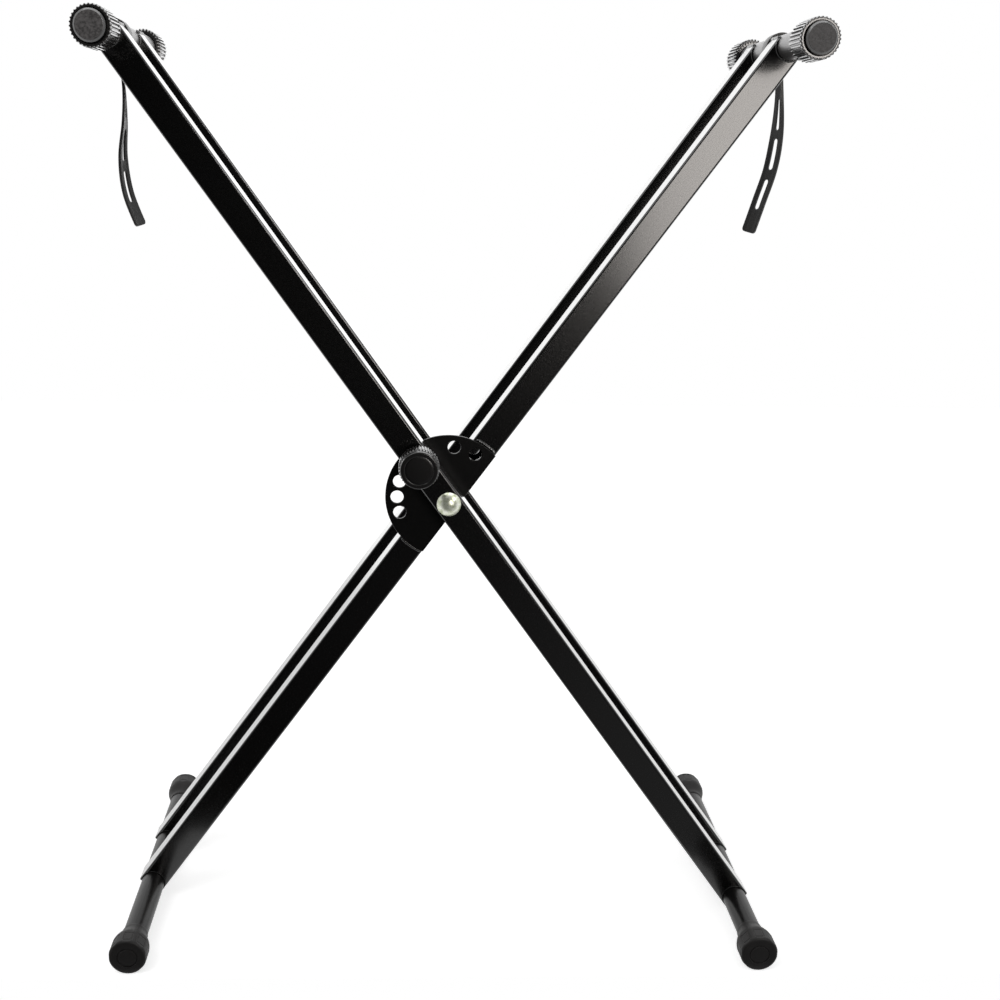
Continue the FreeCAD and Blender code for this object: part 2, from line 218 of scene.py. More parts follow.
def bumpInto(tree, shader, height, distance, strength):
    bump = addNode(tree, "ShaderNodeBump", in_Height=height, in_Distance=distance * mm, in_Strength=strength)
    tree.links.new(bump.outputs["Normal"], shader.inputs["Normal"])


glossPaint = {"colour": (0.001, 0.0009, 0.0009, 1), "grainWearAndHighlightTone": (0.018, 0.0165, 0.016, 1), "flecks": 0.08,
              "dustColour": (0.16, 0.15, 0.145, 1), "dust": 0.006, "rub": 0.4, "gloss": (0.2, 0.3),
              "specular": 0.28, "coat": 0.85, "coatRoughness": 0.15, "bump": 0.6}
platePaint = dict(glossPaint, grainWearAndHighlightTone=(0.02, 0.0185, 0.018, 1), flecks=0.1, rub=0.6, gloss=(0.28, 0.4),
                  specular=0.2, coat=0.0, coatRoughness=0.3, bump=0.5)
satinPaint = dict(platePaint, colour=(0.004, 0.0037, 0.0037, 1), grainWearAndHighlightTone=(0.04, 0.037, 0.036, 1), flecks=0.4,
                  dust=0.02, rub=0.4, gloss=(0.26, 0.4), specular=0.16, bump=0.9)
silkPaint = {"colour": (0.02, 0.0187, 0.0185, 1), "grainWearAndHighlightTone": (0.09, 0.085, 0.083, 1), "flecks": 0.5,
             "dustColour": (0.2, 0.19, 0.185, 1), "dust": 0.12, "rub": 0.4, "gloss": (0.4, 0.56),
             "specular": 0.8, "coat": 0.6, "coatRoughness": 0.34, "bump": 1.0}


def makeBlackPaint(name, look):
    material, tree, shader = newMaterial(name, Specular_IOR_Level=look["specular"], Coat_Weight=look["coat"],
                                         Coat_Roughness=look["coatRoughness"], Coat_IOR=1.5)
    flecks = effect(tree, "flecks", Size=0.7, Share=0.4, Softness=0.1)["Mask"]
    rub = effect(tree, "rub", Width=0.5, Patch_Size=3.5, Amount=look["rub"])["Mask"]
    dust = effect(tree, "dust", Blotch_Size=22.0, Amount=look["dust"])["Mask"]
    height = effect(tree, "peel", Wave_Size=1.7, Grain_Size=0.4, Grain_Share=0.2)["Height"]
    colour = mixColour(tree, multiplied(tree, flecks, look["flecks"]), look["colour"], look["grainWearAndHighlightTone"])
    # rubbed edges take the lighter tone: wear, and partly a painted highlight
    colour = mixColour(tree, rub, colour, look["grainWearAndHighlightTone"])
    colour = mixColour(tree, dust, colour, look["dustColour"])
    tree.links.new(colour, shader.inputs["Base Color"])
    tree.links.new(rangeNode(tree, height, 0.3, 1.0, *look["gloss"]), shader.inputs["Roughness"])
    bumpInto(tree, shader, height, 0.035, look["bump"])
    return material


# gloss is the range of roughness; bump is its depth and its strength
# the crevice colour of these looks is painted shade, laid where grooves and rib gaps shut out light
smoothPlastic = {"colour": (0.006, 0.0055, 0.0055, 1), "grainWearAndHighlightTone": (0.06, 0.056, 0.055, 1), "mottle": 0.2,
                 "dustColour": (0.2, 0.19, 0.185, 1), "crevicePaintedShade": (0.001, 0.001, 0.001, 1),
                 "mould": {"Grain_Size": 0.5, "Contrast": 0.6}, "gloss": (0.24, 0.4), "bump": (0.04, 0.8),
                 "rub": {"Width": 0.5, "Patch_Size": 5.0, "Amount": 0.9},
                 "dust": {"Blotch_Size": 7.0, "Amount": 0.08}, "crevice": {"Reach": 2.6, "Amount": 0.95},
                 "coat": 1.0, "shader": {"Specular_IOR_Level": 0.25, "Coat_Roughness": 0.2, "Coat_IOR": 1.7}}
grainedPlastic = dict(smoothPlastic, colour=(0.034, 0.031, 0.031, 1), grainWearAndHighlightTone=(0.16, 0.15, 0.148, 1),
                      crevicePaintedShade=(0.002, 0.002, 0.002, 1), mottle=0.55, gloss=(0.5, 0.7), bump=(0.4, 0.8),
                      mould={"Grain_Size": 2.0, "Contrast": 1.0}, crevice={"Reach": 1.0, "Amount": 0.95},
                      coat=0.0, shader={"Specular_IOR_Level": 0.35, "Coat_Roughness": 0.2, "Coat_IOR": 1.7})
footRubber = {"colour": (0.006, 0.0053, 0.0052, 1), "grainWearAndHighlightTone": (0.06, 0.056, 0.055, 1), "mottle": 0.1,
              "dustColour": (0.12, 0.115, 0.11, 1), "crevicePaintedShade": (0.0005, 0.0005, 0.0005, 1),
              "mould": {"Grain_Size": 0.7, "Contrast": 0.6}, "gloss": (0.46, 0.6), "bump": (0.05, 0.6),
              "rub": {"Width": 0.5, "Patch_Size": 4.0, "Amount": 0.9},
              "dust": {"Blotch_Size": 9.0, "Amount": 0.04}, "crevice": {"Reach": 1.0, "Amount": 0.8},
              "shader": {"Specular_IOR_Level": 0.2}}
# the strap's lighter edge tone is partly wear and partly a painted highlight along its rims
strapRubber = {"colour": (0.007, 0.0066, 0.0066, 1), "grainWearAndHighlightTone": (0.05, 0.047, 0.046, 1), "mottle": 0.2,
               "dustColour": (0.05, 0.047, 0.046, 1),
               "mould": {"Grain_Size": 0.5, "Contrast": 0.4}, "gloss": (0.34, 0.44), "bump": (0.015, 0.3),
               "rub": {"Width": 0.5, "Patch_Size": 6.0, "Amount": 0.9},
               "dust": {"Blotch_Size": 6.0, "Amount": 0.1}, "dullCrevice": {"Reach": 2.5, "Amount": 0.5},
               "shader": {"Specular_IOR_Level": 0.4, "Sheen_Weight": 0.05, "Sheen_Roughness": 0.5}}
# the knob's pale edge tone is a painted highlight on the rims of its face
knobPlastic = {"colour": (0.0022, 0.0019, 0.002, 1), "grainWearAndHighlightTone": (0.14, 0.13, 0.13, 1), "mottle": 0.02,
               "mould": {"Grain_Size": 0.3, "Contrast": 0.4}, "gloss": (0.3, 0.42), "bump": (0.02, 0.4),
               "rub": {"Width": 0.4, "Patch_Size": 8.0, "Amount": 0.8},
               "crevicePaintedShade": (0.001, 0.001, 0.001, 1), "crevice": {"Reach": 1.2, "Amount": 0.9},
               "shader": {"Specular_IOR_Level": 0.2, "Coat_Weight": 0.7, "Coat_Roughness": 0.17,
                          "Coat_IOR": 1.5}}
brightSteel = {"colour": (0.6, 0.59, 0.57, 1), "grainWearAndHighlightTone": (0.33, 0.32, 0.3, 1), "mottle": 1.0,
               "mould": {"Grain_Size": 0.5, "Contrast": 0.6}, "gloss": (0.22, 0.38), "bump": (0.01, 0.4),
               "shader": {"Metallic": 1.0}}
nylon = {"colour": (0.03, 0.03, 0.03, 1), "grainWearAndHighlightTone": (0.08, 0.08, 0.078, 1), "mottle": 1.0,
         "mould": {"Grain_Size": 0.5, "Contrast": 0.4}, "gloss": (0.38, 0.5), "bump": (0.02, 0.4),
         "shader": {"Specular_IOR_Level": 0.5}}


def makeMoulded(name, look):
    # mottled by its grain, rubbed at the edges with wear and a painted highlight, dusted, and given painted
    # shade or a duller finish in its crevices where the look says so
    material, tree, shader = newMaterial(name, **look["shader"])
    mould = effect(tree, "mould", **look["mould"])
    colour = mixColour(tree, multiplied(tree, mould["Mask"], look["mottle"]), look["colour"], look["grainWearAndHighlightTone"])
    masks = {}
    # edges take the lighter tone, wear and partly a painted highlight; crevices take painted shade
    for kind, tone in (("rub", "grainWearAndHighlightTone"), ("dust", "dustColour"), ("crevice", "crevicePaintedShade")):
        if kind in look:
            masks[kind] = effect(tree, kind, **look[kind])["Mask"]
            colour = mixColour(tree, masks[kind], colour, look[tone])
    tree.links.new(colour, shader.inputs["Base Color"])
    if "coat" in look:  # which the crevices don't have
        coat = rangeNode(tree, masks["crevice"], 0.1, 0.7, look["coat"], 0.0)
        tree.links.new(coat, shader.inputs["Coat Weight"])
    rough = rangeNode(tree, mould["Mask"], 0.0, 1.0, *look["gloss"])
    if "dullCrevice" in look:
        rough = mathNode(tree, "ADD", rough, effect(tree, "crevice", **look["dullCrevice"])["Mask"])
    tree.links.new(rough, shader.inputs["Roughness"])
    bumpInto(tree, shader, mould["Height"], *look["bump"])
    return material


zincPlate = {"colour": (0.97, 0.98, 0.88, 1), "tint": (0.55, 0.6, 0.4, 1), "dark": (0.2, 0.22, 0.14, 1),
             "pits": 0.4, "gloss": (0.24, 0.36), "bump": (0.1, 0.5)}


def makeZincPlate(name, look):
    material, tree, shader = newMaterial(name, Metallic=0.6, Specular_IOR_Level=0.9)
    mould = effect(tree, "mould", Grain_Size=4.0, Contrast=0.8)
    fine = effect(tree, "mould", Grain_Size=0.4, Contrast=0.6)
    pits = effect(tree, "flecks", Size=1.1, Share=0.3, Softness=0.15)["Mask"]
    colour = mixColour(tree, mould["Mask"], look["colour"], look["tint"])
    colour = mixColour(tree, multiplied(tree, pits, look["pits"]), colour, look["dark"])
    tree.links.new(colour, shader.inputs["Base Color"])
    tree.links.new(rangeNode(tree, fine["Mask"], 0.0, 1.0, *look["gloss"]), shader.inputs["Roughness"])
    bumpInto(tree, shader, mould["Height"], *look["bump"])
    return material


finishes = {
    "black_paint": makeBlackPaint("glossPaint", glossPaint),
    "cap_plastic": makeMoulded("smoothPlastic", smoothPlastic),
    "foot_rubber": makeMoulded("footRubber", footRubber),
    "strap_rubber": makeMoulded("strapRubber", strapRubber),
    "knob_plastic": makeMoulded("knobPlastic", knobPlastic),
    "zinc_plate": makeZincPlate("zincPlate", zincPlate),
    "bright_steel": makeMoulded("brightSteel", brightSteel), "nylon": makeMoulded("nylon", nylon),
}
grainedFinish = makeMoulded("grainedPlastic", grainedPlastic)
tubeFinishes = {"foot_tube": makeBlackPaint("satinPaint", satinPaint),
                "head_tube": makeBlackPaint("silkPaint", silkPaint),
                "lock_disc": makeBlackPaint("platePaint", platePaint)}
for name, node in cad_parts.items():
    slotName = node.data.materials[0].name.split(".")[0]
    node.material_slots[0].material = tubeFinishes.get(name[:9], finishes[slotName])
print("materials made:", len(finishes) + len(tubeFinishes) + 1)


def addPiece(name, points, faces, place, finish, body, replaced=(), sharpAngle=40):
    # local millimetres through place into the CAD frame, shaded smooth up to the sharp angle
    mesh = bpy.data.meshes.new(name)
    mesh.from_pydata([place @ Vector(p) for p in points], [], faces)
    work = bmesh.new()
    work.from_mesh(mesh)
    bmesh.ops.remove_doubles(work, verts=work.verts, dist=1e-7)
    bmesh.ops.recalc_face_normals(work, faces=work.faces)
    work.to_mesh(mesh)
    work.free()
    mesh.shade_smooth()
    mesh.set_sharp_from_angle(angle=math.radians(sharpAngle))
    piece = bpy.data.objects.new(name, mesh)
    scene.collection.objects.link(piece)
    piece.data.materials.append(finishes[finish])
    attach(piece, body)
    if replaced:
        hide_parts(*replaced)
    return piece


def roundedProfile(corners, steps=4):
    # (radius, y, rounding) corners of a turned section, with each corner rounded by an arc
    line = []
    last = len(corners) - 1
    for index, (r, y, rounding) in enumerate(corners):
        here = Vector((r, y))
        if index in (0, last) or rounding <= 0:
            line.append(here)
            continue
        before = (Vector(corners[index - 1][:2]) - here).normalized()
        after = (Vector(corners[index + 1][:2]) - here).normalized()
        half = math.acos(max(-1, min(1, before.dot(after)))) / 2
        reach = rounding / math.tan(half)
        centre = here + (before + after).normalized() * (rounding / math.sin(half))
        first, second = here + before * reach - centre, here + after * reach - centre
        for step in range(steps + 1):
            mixed = first.lerp(second, step / steps)
            line.append(centre + mixed.normalized() * rounding)
    return [(max(p.x, 0), p.y) for p in line]


def ringFaces(rings, count):
    # faces between neighbouring rings of point numbers, some of which are one point
    faces = []
    for first, second in zip(rings, rings[1:]):
        for step in range(count):
            after = (step + 1) % count
            if len(first) == 1:
                faces.append((first[0], second[step], second[after]))
            elif len(second) == 1:
                faces.append((first[step], second[0], first[after]))
            else:
                faces.append((first[step], second[step], second[after], first[after]))
    return faces


def takeSkin(work):
    # the points and faces of a bmesh, which is freed
    work.verts.index_update()
    points = [tuple(v.co) for v in work.verts]
    faces = [tuple(v.index for v in f.verts) for f in work.faces]
    work.free()
    return points, faces


def turnedSkin(rows, angles, radiusAt=None):
    # rows of (radius, y, ...) round the Y axis; a row on the axis is one point
    points, rings = [], []
    for row in rows:
        if row[0] < 1e-6:
            rings.append([len(points)])
            points.append((0, row[1], 0))
            continue
        ring = []
        for angle in angles:
            radius = radiusAt(row, angle) if radiusAt else row[0]
            ring.append(len(points))
            points.append((radius * math.sin(angle), row[1], radius * math.cos(angle)))
        rings.append(ring)
    return points, ringFaces(rings, len(angles))


def evenAngles(count):
    return [2 * math.pi * step / count for step in range(count)]


def ribAngles(ribs):
    # close stations on the rib walls, few on the flats
    stations = (-0.5, -0.40, -0.33, -0.28, -0.23, -0.17, 0.0, 0.17, 0.23, 0.28, 0.33, 0.40)
    return [2 * math.pi * (rib + station) / ribs for rib in range(ribs) for station in stations]


def ribShape(angle, ribs, share):
    # 1 on a rib, 0 in the gap, with soft walls
    offset = abs((angle * ribs / (2 * math.pi) + 0.5) % 1 - 0.5)
    t = max(0, min(1, (share / 2 + 0.06 - offset) / 0.12))
    return t * t * (3 - 2 * t)


def ribbedSkin(rows, s):
    # rows of (radius in a gap, y, radius on a rib)
    def radiusAt(row, angle):
        return row[0] + (row[2] - row[0]) * ribShape(angle, s["ribs"], s["share"])

    return turnedSkin(rows, ribAngles(s["ribs"]), radiusAt)


def smoothStep(value, low, high):
    t = max(0, min(1, (value - low) / (high - low)))
    return t * t * (3 - 2 * t)


def endPlace(node, proud, roll=0.0):
    # local frame of a cap: Y runs from its closed face towards the tube, lengths in millimetres
    low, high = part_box(node)
    x, z = (low.x + high.x) / 2, (low.z + high.z) / 2
    turn = Matrix.Rotation(math.radians(roll), 4, "Y")
    if low.y < 0:
        move = Matrix.Translation((x, low.y + proud * mm, z))
    else:
        move = Matrix.Translation((x, high.y - proud * mm, z)) @ Matrix.Rotation(math.pi, 4, "Z")
    return move @ turn @ millimetres


headCap = {"length": 32.0, "shoulder": 15.7, "ribTop": 16.5, "ribRoot": 14.9, "ribs": 32, "share": 0.46,
           "gapRound": 0.8, "ribRound": 1.1, "gapDeepens": 4.0, "deepens": 1.8, "disc": 12.5,
           "discHeight": 4.5, "chamfer": 1.5, "groove": 13.5, "grooveDepth": 1.5, "bore": 11.15, "wall": 3.1,
           "lean": 35.75}


def capDiscSkin(s):
    # the plain raised disc in the middle of the closed end, sunk a little into the groove's floor
    low, high = -s["discHeight"], s["grooveDepth"] + 0.4
    return turnedSkin(roundedProfile([
        (0, low, 0), (s["disc"] - s["chamfer"], low, 0.35), (s["disc"], low + s["chamfer"], 0.4),
        (s["disc"], high, 0), (0, high, 0),
    ], 5), evenAngles(128))


def headCapSkin(s):
    front = roundedProfile([
        (0, s["grooveDepth"], 0), (s["groove"], s["grooveDepth"], 0.15), (s["groove"], 0, 0.25),
        (s["groove"] + 0.5, 0, 0),
    ], 4)
    rows = [(r, y, r) for r, y in front]

    def overShoulder(y, top, rounding):
        away = max(rounding - y, 0)
        return top - rounding + math.sqrt(rounding ** 2 - away ** 2)

    for y in (0.01, 0.06, 0.15, 0.3, 0.5, 0.8, 1.1, 1.8, 3.0, 4.0, 4.6, 5.2, 5.8):  # ribs start at the rim
        dip = (s["shoulder"] - s["ribRoot"]) * smoothStep(y, s["gapDeepens"], s["gapDeepens"] + s["deepens"])
        rows.append((overShoulder(y, s["shoulder"], s["gapRound"]) - dip, y,
                     overShoulder(y, s["ribTop"], s["ribRound"])))
    end = s["length"]
    rows += [(s["ribRoot"], y, s["ribTop"]) for y in (end * 0.45, end * 0.7, end - 0.8)]
    rows += [(s["ribRoot"] - 0.15, end - 0.25, s["ribTop"] - 0.25),
             (s["ribRoot"] - 0.5, end, s["ribTop"] - 0.9)]
    rows += [(r, y, r) for r, y in ((s["bore"] + 0.4, end), (s["bore"], end - 0.4), (s["bore"], s["wall"]),
                                    (0, s["wall"]))]
    return ribbedSkin(rows, s)


capSkin, capDisc = headCapSkin(headCap), capDiscSkin(headCap)
for side, turn in (("a", 1), ("b", -1)):
    for end in ("front", "rear"):
        name = "head_cap_" + side + "_" + end
        place = endPlace(name, headCap["discHeight"], turn * headCap["lean"])
        addPiece("ribbedCap_" + side + "_" + end, *capSkin, place, "cap_plastic", "pair_" + side, [name])
        disc = addPiece("capDisc_" + side + "_" + end, *capDisc, place, "cap_plastic", "pair_" + side, [name])
        disc.data.materials.append(grainedFinish)  # the flat face is grained and its bevel smooth
        for face in disc.data.polygons:
            face.material_index = 1 if abs(face.normal.y) > 0.99 else 0
print("head caps made")


footCap = {"radius": 17.0, "length": 37.0, "flat": 16.5, "flats": 8, "round": 2.5, "flareStart": 17.0,
           "flareEnd": 34.0, "neckFoot": 12.0, "neck": 11.8, "ringInner": 8.0, "ringOuter": 9.6,
           "ringDepth": 0.8, "bore": 11.15, "wall": 3.6, "windowHalf": 13.0, "windowLow": 4.2,
           "windowHigh": 15.0, "lineWidth": 0.9, "lineDepth": 0.42}


def footCapSkin(s):
    front = roundedProfile([
        (0, 0, 0), (s["ringInner"], 0, 0.2), (s["ringInner"], s["ringDepth"], 0.15),
        (s["ringOuter"], s["ringDepth"], 0.15), (s["ringOuter"], 0, 0.2),
        (s["radius"], 0, s["round"]), (s["radius"], s["round"] + 0.6, 0),
    ], 6)
    rows = [(r, y, 0) for r, y in front]
    y = s["round"] + 1.0
    while y < s["flareStart"] + 0.4:  # close rows where the panel lines run
        rows.append((s["radius"], y, 1))
        y += 0.28 if min(abs(y - s["windowLow"]), abs(y - s["windowHigh"])) < 1.1 else 0.9
    for step in range(1, 19):
        t = step / 18
        y = s["flareStart"] + 0.4 + (s["flareEnd"] - s["flareStart"] - 0.4) * t
        rows.append((s["radius"] + (s["neckFoot"] - s["radius"]) * smoothStep(t, -0.1, 1.0), y, 0))
    rows += [(s["neck"], s["length"] - 0.8, 0), (s["neck"] - 0.15, s["length"] - 0.2, 0),
             (s["neck"] - 0.4, s["length"], 0), (s["bore"] + 0.1, s["length"], 0),
             (s["bore"], s["length"] - 0.3, 0), (s["bore"], s["wall"], 0), (0, s["wall"], 0)]
    pitch = 2 * math.pi / s["flats"]
    half = math.radians(s["windowHalf"])

    def radiusAt(row, angle):
        radius, y, panel = row
        offset = (angle + pitch / 2) % pitch - pitch / 2
        if radius > s["neck"] + 0.3 and y < s["flareEnd"]:
            radius = min(radius, s["flat"] / math.cos(offset))
        if panel:
            aside = (abs(offset) - half) * s["flat"]
            along = max(s["windowLow"] - y, y - s["windowHigh"])
            border = abs(max(aside, along))
            radius -= s["lineDepth"] * (1 - smoothStep(border, 0.1, s["lineWidth"] / 2 + 0.15))
        return radius

    fine = [f / s["flats"] for f in (-0.5, -0.42, -0.36, -0.32, -0.295, -0.27, -0.245, -0.22, -0.15, -0.07,
                                     0, 0.07, 0.15, 0.22, 0.245, 0.27, 0.295, 0.32, 0.36, 0.42)]
    angles = [2 * math.pi * (flat / s["flats"] + f) for flat in range(s["flats"]) for f in fine]
    return turnedSkin(rows, angles, radiusAt)


footSkin = footCapSkin(footCap)
for side in "ab":
    for end in ("front", "rear"):
        name = "foot_cap_" + side + "_" + end
        addPiece("flaredFoot_" + side + "_" + end, *footSkin, endPlace(name, 0), "foot_rubber",
                 "pair_" + side, [name], sharpAngle=30)
print("foot caps made")


knob = {"length": 21.5, "face": 16.6, "faceRound": 1.2, "seat": 12.65, "seatDepth": 2.0, "step": 5.0,
        "root": 17.0, "ribTop": 18.0, "ribs": 40, "share": 0.55, "skirt": 10.8, "skirtDepth": 10.0,
        "bore": 4.05, "boreEnd": 4.0, "lean": -35.75, "cap": 12.55, "capSink": 0.4, "capThick": 1.6,
        "capDome": 0.25}


def knobSkin(s):
    front = roundedProfile([
        (0, s["seatDepth"], 0), (s["seat"], s["seatDepth"], 0.1), (s["seat"], 0, 0.45),
        (s["face"], 0, s["faceRound"]), (s["face"], s["step"] - 0.5, 0.3), (s["root"], s["step"] - 0.5, 0.3),
        (s["root"], s["step"] + 0.5, 0),
    ], 5)
    rows = [(r, y, r) for r, y in front]
    for step in range(1, 7):
        y = s["step"] + 0.5 + step * 0.22
        rows.append((s["root"], y, s["root"] + (s["ribTop"] - s["root"]) * math.sin(step / 6 * math.pi / 2)))
    end = s["length"]
    rows += [(s["root"], y, s["ribTop"]) for y in (end * 0.6, end - 1.6)]
    for step in range(1, 6):
        t = step / 5
        rows.append((s["root"] - 0.35 * t * t, end - 1.6 + 1.35 * t, s["ribTop"] - 1.0 * t * t))
    rows += [(s["root"] - 0.9, end, s["root"] - 0.9), (s["skirt"] + 0.3, end, s["skirt"] + 0.3)]
    rows += [(r, y, r) for r, y in ((s["skirt"], end - 0.3), (s["skirt"], end - s["skirtDepth"]),
                                    (s["bore"], end - s["skirtDepth"]), (s["bore"], s["boreEnd"]),
                                    (0, s["boreEnd"]))]
    return ribbedSkin(rows, s)


def knobCapSkin(s):
    # a low dome with a rounded rim, sunk into the knob's face
    face, back = s["capSink"], s["capSink"] + s["capThick"] - 0.1
    dome = s["cap"] - 0.6
    rows = [(dome * step / 8, face + s["capDome"] * (step / 8) ** 2) for step in range(9)]
    rows += [(s["cap"] - 0.2, face + s["capDome"] + 0.12), (s["cap"], face + 0.75), (s["cap"], back),
             (0, back)]
    return turnedSkin(rows, evenAngles(96))


knobPlace = endPlace("lock_knob", 0, knob["lean"])
addPiece("pullKnob", *knobSkin(knob), knobPlace, "knob_plastic", "pull_pin", ["lock_knob"])
addPiece("pullKnobCap", *knobCapSkin(knob), knobPlace, "knob_plastic", "pull_pin", ["lock_knob_cap"])
print("knob made")


lockDisc = {"radius": 57.3, "chord": 12.5, "centreHole": 7.05, "holeCircle": 46.5, "hole": 6.0,
            "angles": [4.5] + [71.5 + step * 18.3 for step in (-2.3, 0, 1, 2, 3, 4)],
            "edge": 0.45, "lean": 35.75, "pivotHeight": 413.765}


def discOutline(s, inset, count=150):
    # arc of the disc closed by its straight side, all moved inwards by inset
    radius, side = s["radius"] - inset, s["chord"] - inset
    half = math.acos(side / radius)
    arc = [half + (2 * math.pi - 2 * half) * step / count for step in range(count + 1)]
    points = [(radius * math.cos(angle), radius * math.sin(angle)) for angle in arc]
    low, high = points[-1], points[0]
    points += [(side, low[1] + (high[1] - low[1]) * step / 12) for step in range(1, 12)]
    return points


def holeOutline(x, z, radius, count=48):
    return [(x + radius * math.cos(a), z + radius * math.sin(a)) for a in evenAngles(count)]


def discSkin(s, back, front):
    holes = [(0, 0, s["centreHole"])]
    for angle in s["angles"]:
        turn = math.radians(angle)
        holes.append((-s["holeCircle"] * math.sin(turn), s["holeCircle"] * math.cos(turn), s["hole"]))
    work = bmesh.new()
    edge, part = s["edge"], 0.3 * s["edge"]
    levels = [(front, edge), (front + part, part), (front + edge, 0), (back - edge, 0), (back - part, part),
              (back, edge)]
    rims = {front: [], back: []}
    for hole in [None] + holes:
        rings = []
        for y, inset in levels:
            outline = holeOutline(hole[0], hole[1], hole[2] + inset) if hole else discOutline(s, inset)
            rings.append([work.verts.new((x, y, z)) for x, z in outline])
        count = len(rings[0])
        for first, second in zip(rings, rings[1:]):
            for step in range(count):
                after = (step + 1) % count
                work.faces.new((first[step], second[step], second[after], first[after]))
        for y, ring in ((front, rings[0]), (back, rings[-1])):
            rims[y] += [work.edges.get((ring[step], ring[(step + 1) % count])) for step in range(count)]
    for edges in rims.values():
        bmesh.ops.triangle_fill(work, edges=edges, use_beauty=True, use_dissolve=False)
    return takeSkin(work)


discLow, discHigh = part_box("lock_disc")
armTurnA = Matrix.Rotation(math.radians(lockDisc["lean"]), 4, "Y")
armTurnB = Matrix.Rotation(math.radians(-lockDisc["lean"]), 4, "Y")
atPivot = Matrix.Translation((0, 0, lockDisc["pivotHeight"] * mm))
discPlace = atPivot @ armTurnA @ millimetres
plate = addPiece("lockDisc", *discSkin(lockDisc, discHigh.y / mm, discLow.y / mm), discPlace, "black_paint",
                 "pair_a", ["lock_disc"], sharpAngle=15)
plate.material_slots[0].material = tubeFinishes["lock_disc"]
print("lock disc made")


lockNut = {"flats": 17.0, "height": 7.0, "collar": 7.4, "collarHeight": 2.5, "bore": 5.05, "chamfer": 30}


def nutSkin(s):
    corner = s["flats"] / 2 / math.cos(math.pi / 6)
    flat = s["flats"] / 2 - 0.1  # radius of the ring left flat inside the chamfer
    run = corner - flat
    slope = math.tan(math.radians(s["chamfer"]))
    chamfer = [(corner - (1 - t) * run, t * run * slope) for t in (0.25, 0.5, 0.75, 1)]
    bore, collar, top, end = s["bore"], s["collar"], s["height"], s["height"] + s["collarHeight"]
    rows = [(bore, 0.4), (bore + 0.4, 0), (flat, 0)] + chamfer + [(corner, top * 0.5)]
    rows += [(r, top - y) for r, y in reversed(chamfer)] + [(flat, top)]
    rows += [(collar + 0.2, top), (collar, top + 0.3), (collar, end - 0.8), (collar - 0.3, end - 0.2),
             (collar - 1.0, end), (bore + 0.3, end - 0.3), (bore, end - 0.8), rows[0]]

    def radiusAt(row, angle):
        offset = (angle + math.pi / 6) % (math.pi / 3) - math.pi / 6
        return min(row[0], s["flats"] / 2 / math.cos(offset))

    return turnedSkin(rows, evenAngles(120), radiusAt)


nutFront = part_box("pivot_nut")[0].y
nutPlace = Matrix.Translation((0, nutFront, lockDisc["pivotHeight"] * mm)) @ armTurnB @ millimetres
addPiece("lockNut", *nutSkin(lockNut), nutPlace, "zinc_plate", "pair_b", ["pivot_nut"], sharpAngle=30)
print("nut made")


strap = {"width": 14.0, "thick": 2.2, "channel": 0.2, "inner": 11.5, "slotLength": 27.0, "slotWidth": 4.8,
         "slotPitch": 34.5, "firstSlot": 53.0, "slots": 3, "tipRound": 3.0, "edge": 0.45, "lip": 0.3,
         "lines": {"a": [(0.5, -12.6), (3.2, -40.0), (3.6, -70.0), (0.2, -100.0), (-7.6, -128.0),
                         (-15.6, -155.5)],
                   "b": [(2.5, -12.6), (5.8, -40.0), (5.3, -68.0), (2.4, -98.0), (5.2, -127.0),
                         (14.8, -154.5)]},
         "twist": {"a": (-5.0, -38.0), "b": (-10.0, 24.0)},  # degrees at the loop and at the free end
         "turn": {"a": (15.0, 80.0), "b": (15.0, 125.0)},  # it twists between these drops below the loop
         "evenRows": 80, "clearOfSlot": 2.2, "pastSlot": 1.6}


def strapLine(points, perRun=24):
    # smooth curve through the hanging line, as (place, direction, length so far)
    padded = [points[0]] + points + [points[-1]]
    line = []
    for run in range(len(points) - 1):
        a, b, c, d = (Vector((x, 0, z)) for x, z in padded[run:run + 4])
        first, second, third = c - a, a * 2 - b * 5 + c * 4 - d, b * 3 - a - c * 3 + d
        last = 1 if run == len(points) - 2 else 0
        for step in range(perRun + last):
            t = step / perRun
            place = (b * 2 + first * t + second * t * t + third * t ** 3) * 0.5
            along = (first + second * 2 * t + third * 3 * t * t) * 0.5
            line.append([place, along.normalized(), 0.0])
    for before, here in zip(line, line[1:]):
        here[2] = before[2] + (here[0] - before[0]).length
    return line


